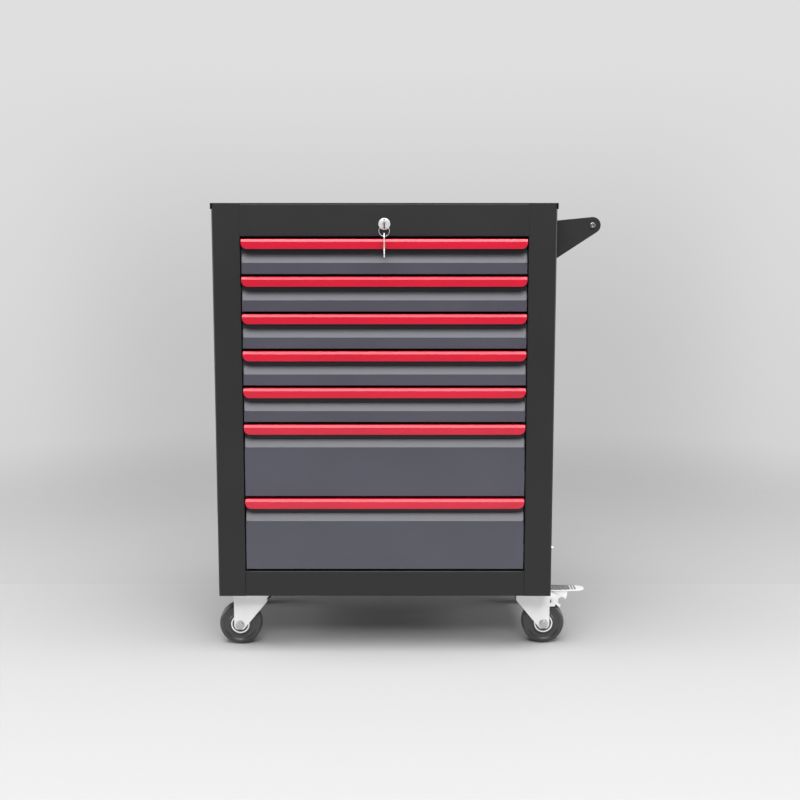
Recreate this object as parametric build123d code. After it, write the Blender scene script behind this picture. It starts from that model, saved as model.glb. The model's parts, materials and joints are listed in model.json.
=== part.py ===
from build123d import *
import os
from math import cos, pi, radians, sin, sqrt, tan

# Seven-drawer rolling tool chest on four swivel casters, in millimetres.
#
# While it is built, X = 0 is the middle of the cabinet, Y = 0 its front face and Z = 0 the floor. +X is the
# right-hand side, where the push handle is, +Y runs to the back and +Z is up. At the end every piece moves
# by one offset, so that the origin is the middle of the whole chest's footprint, on the floor.

os.makedirs("parts", exist_ok=True)

# ---------------------------------------------------------------------------------------------------------
# Driving dimensions
# ---------------------------------------------------------------------------------------------------------

# Cabinet shell
cabinet_width = 616.0        # over the side walls
cabinet_depth = 370.0        # front face to back face
body_height = 720.0          # lower edge of the side walls to the top of the cover
sheet = 1.0                  # side walls and rails
corner_radius = 4.5          # outside bend of the two front corners
fold_radius = 1.5            # middle line of every other fold
stile_width = 50.7           # front face on each side of the drawers
return_depth = 14.0          # edges folded back behind the stiles and rails
rear_flange = 15.0           # side wall's fold along the back
top_rail_height = 59.0       # top of the cover to the drawer opening
bottom_rail_height = 47.6    # lower edge to the drawer opening

# Top cover
cover_sheet = 1.2
cover_overhang = 1.8         # beyond the side walls and the back
cover_rim = 10.7             # height of the down-turned rim
cover_edge_radius = 1.4

# Back and bottom panels
back_sheet = 0.8
pan_border = 45.0            # flat border round the pressed field of the back panel
pan_depth = 4.0
deck_sheet = 1.5
deck_recess = 4.0            # underside of the bottom panel above the lower edge of the side walls
deck_flange = 12.0
notch_gap = 1.5              # notches in the bottom panel round the stiles' returns

# Uprights that carry the slides
post_sheet = 1.2
post_width = 30.0            # along the depth
post_foot = 12.0             # flanges spot-welded to the side wall
post_inset = 34.0            # cabinet's front or back to the upright

# Drawers
small_drawers = 5
large_drawers = 2
small_pitch = 66.9           # height of one small drawer's place
bottom_gap = 3.8             # lowest drawer above the bottom rail
side_gap = 2.1               # drawer front to the stile
pull_gap = 4.5               # top of the place to the pull
pull_height = 17.5
pull_bevel = 4.5
pull_reach = 7.5             # pull in front of the cabinet's face
pull_sheet = 1.6
pull_corner = 11.0           # lower corners of the pull
recess_depth = 8.0           # finger recess behind the pull
slope_top = 30.5             # top of the place to the top of the slope below the recess
slope_bottom = 46.6          # top of the place to the flat part of the front
front_sheet = 1.0
box_sheet = 1.0
box_half_width = 246.0
box_rear_space = 34.0        # drawer box to the cabinet's back face
box_lift = 2.5               # box above the lower edge of its front
box_headroom = 19.0          # top of the place to the rim of the box
box_hem = 8.0                # doubled rim of the box
box_bend = 2.0
pull_tail = 9.0              # pull's top plate behind the recess wall

# Screws in the shell
back_screw_rows = 5
back_screw_margin = 30.0     # first and last rows from the ends of the back panel
back_screw_radius = 1.9
side_screw_radius = 2.2
side_screw_depth = 12.0
side_screw_height = 89.0     # above the lower edge of the side walls
wall_screw_radius = 2.5      # handle brackets

# Slides: an inner channel on the drawer runs in an outer channel on the uprights
slide_height = 35.0
slide_sheet = 1.2
slide_thickness = 11.8       # box wall to upright
slide_running_gap = 0.35
slide_inner_reach = 9.4      # inner channel from the box wall outwards
slide_outer_reach = 9.2      # outer channel from the upright inwards
slide_front = 18.0           # front face to the slides
slide_length = 310.0
slide_overlap = 70.0         # length that stays in the outer channel when open
slide_lift = 5.0             # slide above the bottom of the box

# Lock
lock_drop = 37.0             # top of the cover to the lock's axis
lock_head_height = 2.6
lock_barrel_radius = 9.4
lock_head_rim = 1.1          # head beyond the barrel
lock_barrel_length = 22.0
lock_nut_wall = 2.6          # barrel to the nut's flats
lock_nut_height = 3.0
plug_radius = 6.9
plug_proud = 1.0
key_sheet = 2.2
key_blade_height = 8.0
key_blade_length = 20.0
key_bow_width = 18.0
key_bow_length = 21.0
key_shoulder = 2.0           # lock face to the bow
key_hole_radius = 3.8
lock_fit = 0.05              # radial running clearance in the lock
rod_radius = 2.5
rod_socket = 2.0             # depth of the plug's socket for the rod
plug_collar = 3.0            # plug behind the barrel
crank_radius = 4.0 * sqrt(2)
crank_pin_radius = 2.0
crank_sheet = 3.0
bar_width = 20.0
bar_sheet = 2.0
bar_gap = 0.3                # bar in its guides and pin in the bar's slot
bar_to_back = 21.0           # front of the bar to the back face
hook_width = 10.0
hook_sheet = 1.5
hook_lip = 8.0
guide_height = 12.0
guide_margin = 4.0            # guide beyond the bar
bar_foot = 8.0               # lower end of the bar above the bottom panel's flange
bar_head = 23.0              # upper end of the bar above the lock's axis
bearing_sheet = 3.0
bearing_half = 6.0
catch_drop = 6.0             # rim of the box to the drawer's catch
catch_gap = 2.0              # hook below the catch while unlocked
lip_play = 2.0               # hook to catch along the depth while locked, and catch to bar

# Push handle
handle_drop = 38.9           # top of the cover to the tube's axis
handle_reach = 69.3          # side wall to the tube's axis
handle_tube_radius = 11.0
handle_tube_wall = 1.5
handle_tip_radius = 14.9
handle_sheet = 3.0
handle_inset = 45.0          # cabinet's front or back to the bracket
handle_root_top = 30.8       # top of the cover to the bracket's top at the wall
handle_root_bottom = 102.0
handle_flange = 20.0
handle_plug = 12.0           # solid end of the tube
bolt_clearance = 0.1         # radial, bolts and screws in their holes

# Casters
wheel_radius = 40.0
wheel_width = 28.0
wheel_headroom = 20.0        # wheel to the fork's crown
tyre_shoulder = 6.5
tyre_bore = 12.0
hub_disc_radius = 17.4
hub_disc_sheet = 0.8
hub_rim = 2.2                # rim of the disc, out from the tyre's side
hub_rim_width = 2.6
hub_collar = 5.0             # wall of the hub tube outside the discs
groove_depth = 2.0           # ring groove in the tyre's sides
groove_slope = 4.5           # width of the groove's slanted outer side
groove_edge = 1.5            # groove to the start of the shoulder
rim_play = 0.8               # hub's rim to fork, each side
hub_play = 0.5               # wheel hub to fork, each side
axle_radius = 4.0
axle_fit = 0.08
axle_nut_across = 13.2
axle_flange_radius = 8.6
trail = 20.5                 # swivel axis to axle
fork_half_width = 31.5
fork_sheet = 2.5
fork_end_radius = 11.0
fork_end_flat = 9.3          # axle to the flat lower end
fork_shoulder = 16.8         # top of the fork to where its inner edge starts to slant
fork_top_drop = 7.0          # caster plate to fork
plate_half_x = 26.0
plate_half_y = 43.0
plate_sheet = 2.5
plate_bolt_x = 38.0
plate_bolt_y = 70.0
plate_bolt_radius = 3.0
plate_bolt_head = 2.8
race_radius = 25.0
race_gap = 0.3
kingpin_radius = 5.0
kingpin_head_radius = 8.0
kingpin_head = 3.0
left_caster_inset = 53.5     # side wall to swivel axis
right_caster_inset = 28.2
left_front_inset = 58.0      # front face to swivel axis
right_front_inset = 64.0
rear_inset = 60.0            # back face to swivel axis

# Brake pedal on the front right-hand caster
pedal_pivot_x = 39.5         # swivel axis to pedal pin
pedal_pivot_drop = 20.0      # lower edge of the side walls to pedal pin
pedal_tip = 98.0             # swivel axis to the pedal's tip
pedal_half_width = 17.5
pedal_below_skirt = 1.8      # lower edge of the side walls to the top of the ribs
pedal_sheet = 2.0
pedal_ribs = 9
pedal_rib_height = 0.8
pedal_cheek_y = 13.0         # middle of the caster to the inside of each cheek
pedal_ear = 33.0             # length of the cheeks under the tread
brake_shoe_gap = 3.2         # brake shoe to tyre while released
brake_pin_radius = 2.5

# ---------------------------------------------------------------------------------------------------------
# Places worked out from them
# ---------------------------------------------------------------------------------------------------------

half_width = cabinet_width / 2
opening_half = half_width - stile_width
inner_half = half_width - sheet
deck_z = 2 * wheel_radius + wheel_headroom + fork_sheet + fork_top_drop + plate_sheet
skirt_z = deck_z - deck_recess
top_z = skirt_z + body_height
shell_top = top_z - cover_sheet
opening_top = top_z - top_rail_height
opening_bottom = skirt_z + bottom_rail_height
deck_top = deck_z + deck_sheet
panel_y = cabinet_depth - sheet          # inner face of the side walls' rear flanges
back_screw_x = half_width - 0.55 * rear_flange
side_screw_place = (half_width, side_screw_depth, skirt_z + side_screw_height)

large_pitch = (opening_top - opening_bottom - small_drawers * small_pitch - bottom_gap) / large_drawers
pitches = [small_pitch] * small_drawers + [large_pitch] * large_drawers
drawer_tops = [opening_top - sum(pitches[:n]) for n in range(len(pitches))]
front_half = opening_half - side_gap
box_front = recess_depth + front_sheet
box_rear = cabinet_depth - box_rear_space

slide_face = box_half_width + slide_thickness    # where the outer channels meet the uprights
slide_travel = slide_length - slide_overlap

lock_z = top_z - lock_drop
lock_head_radius = lock_barrel_radius + lock_head_rim
handle_x = half_width + handle_reach
handle_z = top_z - handle_drop

bar_front = cabinet_depth - bar_to_back
crank_angle = radians(-135)                      # pin down and to the left of the lock's axis at rest
pin_x = crank_radius * cos(crank_angle)
pin_z = crank_radius * sin(crank_angle)
bar_lift = -2 * pin_z                            # the key's quarter turn lifts the bar this far
bar_x = pin_x
bar_low = deck_top + deck_flange + bar_foot
catch_rear = bar_front - lip_play                # catches stop short of the bar
hook_front = catch_rear - 2 * hook_sheet - lip_play
crank_rear = hook_front

caster_z = deck_z - plate_sheet                  # underside of the caster plates
fork_top = caster_z - fork_top_drop
fork_inside = wheel_width / 2 + hub_rim + rim_play
fork_outside = fork_inside + fork_sheet
pedal_pivot_z = skirt_z - pedal_pivot_drop


# ---------------------------------------------------------------------------------------------------------
# Small tools
# ---------------------------------------------------------------------------------------------------------

def block(x, y, z):
    """A box between pairs of coordinates."""
    middle = [(low + high) / 2 for low, high in (x, y, z)]
    return Pos(*middle) * Box(x[1] - x[0], y[1] - y[0], z[1] - z[0])


def rod(radius, start, end):
    """A cylinder from one point to another."""
    run = Vector(*end) - Vector(*start)
    return extrude(Plane(origin=start, z_dir=run) * Circle(radius), amount=run.length)


def folded(points, radii, thickness, plane, length):
    """Sheet folded along a middle line that lies in plane, and length long."""
    section = trace(FilletPolyline(*points, radius=radii), line_width=thickness)
    return extrude(plane * section, amount=length)


def along_x(points, radii, thickness, half_length):
    """Folded sheet whose section is given as (Y, Z) and which runs across the cabinet."""
    return folded(points, radii, thickness, Plane.YZ.offset(-half_length), 2 * half_length)


def plate_xz(outline, y):
    """A flat plate whose outline is given as (X, Z), between two depths."""
    return extrude(Plane.XZ.offset(-y[1]) * outline, amount=y[1] - y[0])


def hexagon(across):
    """A nut's outline, across its flats."""
    return RegularPolygon(across / 2, 6, major_radius=False)


def mirrored(part):
    """The same piece for the left-hand side."""
    return mirror(part, about=Plane.YZ)


def screw(place, out, head_radius, head_height, shank_radius, shank_length, drive="cross"):
    """A screw whose head sits on place and points out."""
    head = Pos(0, 0, head_height / 2) * Cylinder(head_radius, head_height)
    head = fillet(head.edges().group_by(Axis.Z)[-1], 0.45 * head_height)
    if drive == "cross":
        slot = Box(1.1 * head_radius, 0.22 * head_radius, head_height)
        head -= Pos(0, 0, head_height) * (slot + Rot(0, 0, 90) * slot)
    else:
        socket = extrude(RegularPolygon(0.5 * head_radius, 6), amount=0.6 * head_height)
        head -= Pos(0, 0, 0.4 * head_height) * socket
    shank = Pos(0, 0, -shank_length / 2) * Cylinder(shank_radius, shank_length)
    return Plane(origin=place, z_dir=out) * (head + shank)


# ---------------------------------------------------------------------------------------------------------
# Cabinet shell
# ---------------------------------------------------------------------------------------------------------

def handle_screw_places():
    """Where the push handle's brackets are screwed to the right-hand wall, as (Y, Z)."""
    depth = handle_inset + handle_sheet + 0.55 * handle_flange
    heights = [top_z - handle_root_top - 14.0, top_z - handle_root_bottom + 14.0]
    return [(y, z) for y in (depth, cabinet_depth - depth) for z in heights]


def back_screw_places():
    """Where the back panel is screwed to the side walls' rear flanges, as (X, Z)."""
    low, high = deck_top + back_screw_margin, shell_top - back_screw_margin
    step = (high - low) / (back_screw_rows - 1)
    return [(side * back_screw_x, low + row * step) for side in (-1, 1) for row in range(back_screw_rows)]


def side_panel(side):
    """Side wall, front stile and rear flange, folded from one sheet. side is -1 on the left."""
    wall, front, rear = half_width - sheet / 2, sheet / 2, cabinet_depth - sheet / 2
    jamb = opening_half + sheet / 2
    line = [
        (half_width - rear_flange, rear),
        (wall, rear),
        (wall, front),
        (jamb, front),
        (jamb, return_depth),
    ]
    radii = [fold_radius, corner_radius - sheet / 2, fold_radius]
    panel = folded(line, radii, sheet, Plane.XY.offset(skirt_z), shell_top - skirt_z)
    for x, z in back_screw_places():
        if x > 0:
            panel -= rod(back_screw_radius + bolt_clearance, (x, panel_y - 1, z), (x, cabinet_depth + 1, z))
    if side < 0:
        return mirrored(panel)
    for y, z in handle_screw_places():
        panel -= rod(wall_screw_radius + bolt_clearance, (inner_half - 1, y, z), (half_width + 1, y, z))
    x, y, z = side_screw_place
    return panel - rod(side_screw_radius + bolt_clearance, (x - sheet - 1, y, z), (x + 1, y, z))


def rail(low, high):
    """Front rail between the stiles, with its edges folded back."""
    front = sheet / 2
    line = [
        (return_depth, low + front),
        (front, low + front),
        (front, high - front),
        (return_depth, high - front),
    ]
    return along_x(line, fold_radius, sheet, opening_half)


def top_rail():
    """Rail above the drawers, with the hole for the lock."""
    hole = rod(lock_barrel_radius + bolt_clearance, (0, -1, lock_z), (0, 2 * sheet, lock_z))
    return rail(opening_top, shell_top) - hole


def top_cover():
    """Flat lid with a down-turned rim at both sides and the back."""
    half, rear = half_width + cover_overhang, cabinet_depth + cover_overhang
    lid = block((-half, half), (0, rear), (top_z - cover_rim, top_z))
    upper = lid.edges().group_by(Axis.Z)[-1]
    lid = fillet(upper.filter_by(Axis.Y) + upper.filter_by(Axis.X).sort_by(Axis.Y)[-1:], cover_edge_radius)
    inner = block((cover_sheet - half, half - cover_sheet), (-1, rear - cover_sheet), (0, shell_top))
    return lid - inner


def back_panel():
    """Thin back with a shallow field pressed inwards, to stiffen it."""
    height = shell_top - deck_top
    middle = (shell_top + deck_top) / 2
    half = inner_half - fold_radius
    panel = block((-half, half), (panel_y - back_sheet, panel_y), (deck_top, shell_top))
    field = Rectangle(2 * (half - pan_border), height - 2 * pan_border)
    plane = Plane(origin=(0, panel_y, middle), x_dir=(1, 0, 0), z_dir=(0, -1, 0))
    pan = extrude(plane * field, amount=pan_depth, taper=45)
    panel += Pos(0, -back_sheet, 0) * pan
    panel -= pan
    for x, z in back_screw_places():
        panel -= rod(back_screw_radius + bolt_clearance, (x, panel_y - 2, z), (x, panel_y + 1, z))
    return panel


def caster_places():
    """Swivel axes as name: (X, Y, side, braked)."""
    left, right = left_caster_inset - half_width, half_width - right_caster_inset
    rear = cabinet_depth - rear_inset
    return {
        "front_left": (left, left_front_inset, -1, False),
        "front_right": (right, right_front_inset, 1, True),
        "rear_left": (left, rear, -1, False),
        "rear_right": (right, rear, 1, False),
    }


def plate_bolt_offsets():
    """The four holes of a caster plate from its swivel axis."""
    return [(i * plate_bolt_x / 2, j * plate_bolt_y / 2) for i in (-1, 1) for j in (-1, 1)]


def plate_bolt_places():
    """Centres of the caster bolts as (X, Y)."""
    return [(x + i, y + j) for x, y, _, _ in caster_places().values() for i, j in plate_bolt_offsets()]


def bottom_panel():
    """Floor of the cabinet, a tray whose edges turn up inside the walls."""
    front, rear = sheet, panel_y - back_sheet
    tray = block((-inner_half, inner_half), (front, rear), (deck_z, deck_top + deck_flange))
    hollow = block(
        (deck_sheet - inner_half, inner_half - deck_sheet),
        (front + deck_sheet, rear - deck_sheet),
        (deck_top, deck_top + deck_flange + 1),
    )
    tray = fillet(tray.edges().filter_by(Axis.Z), corner_radius + 0.5)
    tray -= fillet(hollow.edges().filter_by(Axis.Z), corner_radius - deck_sheet)
    notch = block((opening_half - notch_gap, opening_half + sheet + notch_gap), (0, return_depth + notch_gap),
                  (deck_z - 1, deck_top + deck_flange + 1))
    tray -= notch + mirrored(notch)
    for x, y in plate_bolt_places():
        tray -= rod(plate_bolt_radius + bolt_clearance, (x, y, deck_z - 1), (x, y, deck_top + 1))
    return tray


def posts(side):
    """Front and rear uprights of one side: hat sections between the side wall and the slides."""
    wall, face = inner_half - post_sheet / 2, slide_face + post_sheet / 2
    pieces = []
    for start in (post_inset, cabinet_depth - post_inset - post_width):
        near, far = start + post_sheet / 2, start + post_width - post_sheet / 2
        line = [
            (wall, near - post_foot),
            (wall, near),
            (face, near),
            (face, far),
            (wall, far),
            (wall, far + post_foot),
        ]
        low = deck_top + deck_flange
        post = folded(line, fold_radius, post_sheet, Plane.XY.offset(low), shell_top - low)
        pieces.append(post if side > 0 else mirrored(post))
    return pieces


# ---------------------------------------------------------------------------------------------------------
# Drawers and slides
# ---------------------------------------------------------------------------------------------------------

def slide_middle(number):
    """Height of a drawer's slides."""
    return drawer_tops[number] - pitches[number] + box_lift + slide_lift + slide_height / 2


def channel(web_x, tip_x, half_height, middle):
    """Right-hand slide channel with its web at web_x and its two flanges reaching to tip_x."""
    web = block(sorted((web_x, web_x + slide_sheet * (1 if tip_x > web_x else -1))),
                (slide_front, slide_front + slide_length), (middle - half_height, middle + half_height))
    for sign in (-1, 1):
        edge = middle + sign * half_height
        web += block(sorted((web_x, tip_x)), (slide_front, slide_front + slide_length),
                     sorted((edge, edge - sign * slide_sheet)))
    return web


def outer_channels(side):
    """The cabinet's slide channels on one side, one for each drawer."""
    pieces = []
    for number in range(len(pitches)):
        part = channel(slide_face, slide_face - slide_outer_reach, slide_height / 2, slide_middle(number))
        pieces.append(part if side > 0 else mirrored(part))
    return pieces


def inner_channels(number):
    """The pair of channels on a drawer's sides, which run inside the outer ones."""
    half_height = slide_height / 2 - slide_sheet - slide_running_gap
    part = channel(box_half_width, box_half_width + slide_inner_reach, half_height, slide_middle(number))
    return [mirrored(part), part]


def drawer_box(number):
    """Folded tray with a doubled rim, and the catch for the lock bar at its back."""
    top = drawer_tops[number]
    floor, rim = top - pitches[number] + box_lift, top - box_headroom
    tray = block((-box_half_width, box_half_width), (box_front, box_rear), (floor, rim))
    lower = tray.edges().group_by(Axis.Z)[0]
    tray = fillet(lower.filter_by(Axis.Y), box_bend)
    hem = rim - box_hem
    for wall, low, high in ((box_sheet, floor + box_sheet, hem), (2 * box_sheet, hem, rim + 1)):
        x, y = (wall - box_half_width, box_half_width - wall), (box_front + wall, box_rear - wall)
        tray -= block(x, y, (low, high))
    catch = rim - catch_drop
    x = (bar_x - hook_width / 2, bar_x + hook_width / 2)
    tray += block(x, (box_rear - box_sheet / 2, catch_rear), (catch - hook_sheet, catch))
    tray += block(x, (catch_rear - hook_sheet, catch_rear), (catch - hook_lip, catch))
    return tray


def half_turn_tangent(run, rise):
    """Tangent of half the turn between a vertical sheet and a slope of the given run and rise."""
    length = sqrt(run * run + rise * rise)
    return run / (length + rise)


def drawer_front(number):
    """Front panel: a finger recess under the pull, a slope and a flat face, closed at both ends."""
    top = drawer_tops[number]
    bottom = top - pitches[number]
    half = front_sheet / 2
    shelf = top - pull_gap - pull_sheet - half
    slope = half_turn_tangent(recess_depth, slope_bottom - slope_top) * half
    line = [
        (box_front + pull_tail - 1, shelf),
        (recess_depth + half, shelf),
        (recess_depth + half, top - slope_top - slope),
        (half, top - slope_bottom - slope),
        (half, bottom + half),
        (box_front, bottom + half),
    ]
    panel = along_x(line, [1.0, 3.0, 1.0, 1.0], front_sheet, front_half)
    end = Polyline(
        (0, bottom), (0, top - slope_bottom), (recess_depth, top - slope_top), (box_front, top - slope_top),
        (box_front, bottom), close=True)
    cheek = extrude(Plane.YZ.offset(front_half - front_sheet) * make_face(end), amount=front_sheet)
    return panel + cheek + mirrored(cheek)


def drawer_pull(number):
    """Full-width pull: a top plate, a bevel and a lip with rounded lower corners."""
    top = drawer_tops[number] - pull_gap
    half = pull_sheet / 2
    shift = half * tan(pi / 8)
    front = half - pull_reach
    line = [
        (box_front + pull_tail, top - half),
        (pull_bevel - pull_reach + shift, top - half),
        (front, top - pull_bevel - shift),
        (front, top - pull_height),
    ]
    pull = along_x(line, 1.0, pull_sheet, front_half)
    corners = pull.edges().filter_by(Axis.Y).filter_by(
        lambda edge: abs(edge.center().Z - (top - pull_height)) < 0.01)
    pull = fillet(corners, pull_corner)
    lip = pull.edges().filter_by(Axis.X).group_by(Axis.Z)[0]
    return fillet(lip, 0.3 * pull_sheet)


# ---------------------------------------------------------------------------------------------------------
# Lock
# ---------------------------------------------------------------------------------------------------------

def lock_housing():
    """Round chromed head and threaded barrel, bored for the plug."""
    head = rod(lock_head_radius, (0, -lock_head_height, lock_z), (0, 0, lock_z))
    head = fillet(head.edges().group_by(Axis.Y)[0], 0.6 * lock_head_height)
    barrel = rod(lock_barrel_radius, (0, -0.5, lock_z), (0, lock_barrel_length, lock_z))
    ends = (0, -lock_head_height - 1, lock_z), (0, lock_barrel_length + 1, lock_z)
    bore = rod(plug_radius + lock_fit, *ends)
    return head + barrel - bore


def lock_nut():
    """Hexagon nut that clamps the lock against the back of the top rail."""
    outline = hexagon(2 * (lock_barrel_radius + lock_nut_wall)) - Circle(lock_barrel_radius + lock_fit)
    return Pos(0, 0, lock_z) * plate_xz(outline, (sheet, sheet + lock_nut_height))


def lock_plug():
    """Turning core with its keyway in front and a socket for the rod behind."""
    front, rear = -lock_head_height - plug_proud, lock_barrel_length + plug_collar
    plug = rod(plug_radius, (0, front, lock_z), (0, rear, lock_z))
    plug = fillet(plug.edges().group_by(Axis.Y)[0], 0.6)
    x = key_sheet / 2 + 2 * lock_fit
    z = key_blade_height / 2 + 2 * lock_fit
    plug -= block((-x, x), (front - 1, front + key_blade_length + 2), (lock_z - z, lock_z + z))
    collar = rod(plug_radius + 1.6, (0, lock_barrel_length + 0.3, lock_z), (0, rear, lock_z))
    socket = rod(rod_radius + lock_fit, (0, rear - rod_socket, lock_z), (0, rear + 1, lock_z))
    return plug + collar - socket


def key_piece():
    """Flat key standing in the lock, its bow upright and seen edge-on."""
    face = -lock_head_height - plug_proud
    bow_rear = face - key_shoulder
    hole = bow_rear - key_bow_length + key_bow_width / 2
    middle = bow_rear - key_bow_length / 2
    outline = Pos(middle, 0) * RectangleRounded(key_bow_length, key_bow_width, 0.42 * key_bow_length)
    outline += Pos(bow_rear / 2 + face / 2, 0) * Rectangle(key_shoulder + 8, key_blade_height + 3)
    outline -= Pos(face + 3, 0) * Rectangle(6, key_blade_height + 6)
    half, tip = key_blade_height / 2, face + key_blade_length
    blade = Polyline(
        (face - 1, -half), (face + 4, -half), (face + 6, -0.65 * half), (face + 8, -0.85 * half),
        (face + 10, -0.5 * half), (face + 12, -0.75 * half), (face + 14, -0.55 * half), (tip, -0.25 * half),
        (tip, 0.25 * half), (tip - 3, half), (face - 1, half), close=True)
    outline += make_face(blade)
    outline -= Pos(hole, 0) * Circle(key_hole_radius)
    return Pos(0, 0, lock_z) * extrude(Plane.YZ * outline, amount=key_sheet / 2, both=True)


def lock_rod():
    """Rod that carries the key's turn to the back, with its crank and crank pin."""
    start = lock_barrel_length + plug_collar - rod_socket
    end = crank_rear
    piece = rod(rod_radius, (0, start, lock_z), (0, end, lock_z))
    arm = make_hull(Circle(4.0).edges() + (Pos(pin_x, pin_z) * Circle(3.6)).edges())
    piece += Pos(0, 0, lock_z) * plate_xz(arm, (crank_rear - crank_sheet, crank_rear))
    pin = rod(crank_pin_radius, (pin_x, crank_rear, lock_z + pin_z), (pin_x, bar_front + 4.0, lock_z + pin_z))
    return piece + pin


def lock_bar():
    """Flat bar behind the drawers with one hook for each; it rises to lock them."""
    half = bar_width / 2
    y = (bar_front, bar_front + bar_sheet)
    bar = block((bar_x - half, bar_x + half), y, (bar_low, lock_z + bar_head))
    swing = crank_radius + pin_x                 # sideways travel of the crank pin
    reach = crank_pin_radius + bar_gap
    z = lock_z + pin_z
    bar -= block((pin_x - swing - reach, pin_x + reach), (bar_front - 1, bar_front + bar_sheet + 1),
                 (z - reach, z + reach))
    x = (bar_x - hook_width / 2, bar_x + hook_width / 2)
    for number in range(len(pitches)):
        tip = drawer_tops[number] - box_headroom - catch_drop - hook_lip - catch_gap
        root = tip - hook_lip
        bar += block(x, (hook_front, bar_front), (root, root + hook_sheet))
        bar += block(x, (hook_front, hook_front + hook_sheet), (root, tip))
    return bar


def lock_bar_guides():
    """Two guides on the back panel: both lead the bar, and the upper one also bears the rod."""
    half, back = bar_width / 2 + guide_margin, panel_y - back_sheet
    passage = block((bar_x - bar_width / 2 - bar_gap, bar_x + bar_width / 2 + bar_gap),
                    (bar_front - bar_gap, bar_front + bar_sheet + bar_gap), (0, top_z))
    arm_low = lock_z + 8.0
    blocks = []
    for low in (bar_low + bar_foot, arm_low):
        z = (low, low + guide_height)
        blocks.append(block((bar_x - half, bar_x + half), (bar_front - guide_margin, back), z) - passage)
    rear = crank_rear - crank_sheet - 1.0
    front = rear - bearing_sheet
    x = (-bearing_half, bearing_half)
    arm = block(x, (front, bar_front - guide_margin), (arm_low, arm_low + bearing_sheet))
    arm += block(x, (front, rear), (lock_z - bearing_half, arm_low + bearing_sheet))
    arm -= rod(rod_radius + lock_fit, (0, front - 1, lock_z), (0, rear + 1, lock_z))
    return [blocks[0], blocks[1] + arm]


# ---------------------------------------------------------------------------------------------------------
# Push handle
# ---------------------------------------------------------------------------------------------------------

def handle_bracket(front):
    """Tapered plate that stands out from the right-hand wall, with a flange screwed to the wall."""
    tip = Pos(handle_x, handle_z) * Circle(handle_tip_radius)
    root = Line((half_width, top_z - handle_root_top), (half_width, top_z - handle_root_bottom))
    outline = make_hull(tip.edges() + root.edges())
    outline -= Pos(handle_x, handle_z) * Circle(wall_screw_radius + 0.5 + bolt_clearance)
    y = (handle_inset, handle_inset + handle_sheet)
    bracket = plate_xz(outline, y)
    z = (top_z - handle_root_bottom + 5.0, top_z - handle_root_top - 4.0)
    bracket += block((half_width, half_width + handle_sheet), (y[0], y[1] + handle_flange), z)
    for depth, height in handle_screw_places()[:2]:
        bracket -= rod(wall_screw_radius + bolt_clearance, (half_width - 1, depth, height),
                       (half_width + handle_sheet + 1, depth, height))
    return bracket if front else mirror(bracket, about=Plane.XZ.offset(-cabinet_depth / 2))


def handle_tube():
    """Tube between the brackets, with solid threaded ends."""
    start, end = handle_inset + handle_sheet, cabinet_depth - handle_inset - handle_sheet
    tube = rod(handle_tube_radius, (handle_x, start, handle_z), (handle_x, end, handle_z))
    bore = handle_tube_radius - handle_tube_wall
    tube -= rod(bore, (handle_x, start + handle_plug, handle_z), (handle_x, end - handle_plug, handle_z))
    return tube - rod(wall_screw_radius + 0.5 + bolt_clearance, (handle_x, start - 1, handle_z),
                      (handle_x, end + 1, handle_z))


def handle_bolts():
    """Socket bolts in the tube's ends and pan-head screws in the side wall."""
    bolts = []
    for y, out in ((handle_inset, -1), (cabinet_depth - handle_inset, 1)):
        bolts.append(screw((handle_x, y, handle_z), (0, out, 0), 5.2, 3.2, wall_screw_radius + 0.5,
                           handle_sheet + handle_plug - 1, "socket"))
    for y, z in handle_screw_places():
        bolts.append(screw((half_width + handle_sheet, y, z), (1, 0, 0), 4.6, 2.6, wall_screw_radius,
                           handle_sheet + sheet + 5.0))
    return bolts


def panel_screws():
    """Screws of the back panel and the short screw low on the right-hand wall."""
    pieces = [screw((x, cabinet_depth, z), (0, 1, 0), 3.6, 2.0, back_screw_radius, sheet + back_sheet + 3.0)
              for x, z in back_screw_places()]
    pieces.append(screw(side_screw_place, (1, 0, 0), 3.3, 5.0, side_screw_radius, sheet + 6.0))
    return pieces


# ---------------------------------------------------------------------------------------------------------
# Casters. Each is drawn for the right-hand side, about its swivel axis, with its wheel trailing to +X.
# ---------------------------------------------------------------------------------------------------------

def caster_plate():
    """Mounting plate with its four holes."""
    outline = RectangleRounded(2 * plate_half_x, 2 * plate_half_y, 6.0)
    for x, y in plate_bolt_offsets():
        outline -= Pos(x, y) * Circle(plate_bolt_radius + bolt_clearance)
    outline -= Circle(kingpin_radius + lock_fit)
    return extrude(Pos(0, 0, caster_z) * outline, amount=plate_sheet)


def kingpin():
    """Upper race and the headed pin that holds the fork up."""
    race = rod(race_radius, (0, 0, fork_top + 1.7 + race_gap), (0, 0, caster_z))
    race = fillet(race.edges().group_by(Axis.Z)[0], 1.5)
    pin_low = fork_top - fork_sheet - race_gap
    pin = rod(kingpin_radius, (0, 0, pin_low), (0, 0, caster_z + plate_sheet))
    pin += rod(kingpin_head_radius, (0, 0, pin_low - kingpin_head), (0, 0, pin_low))
    return race + pin


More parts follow.
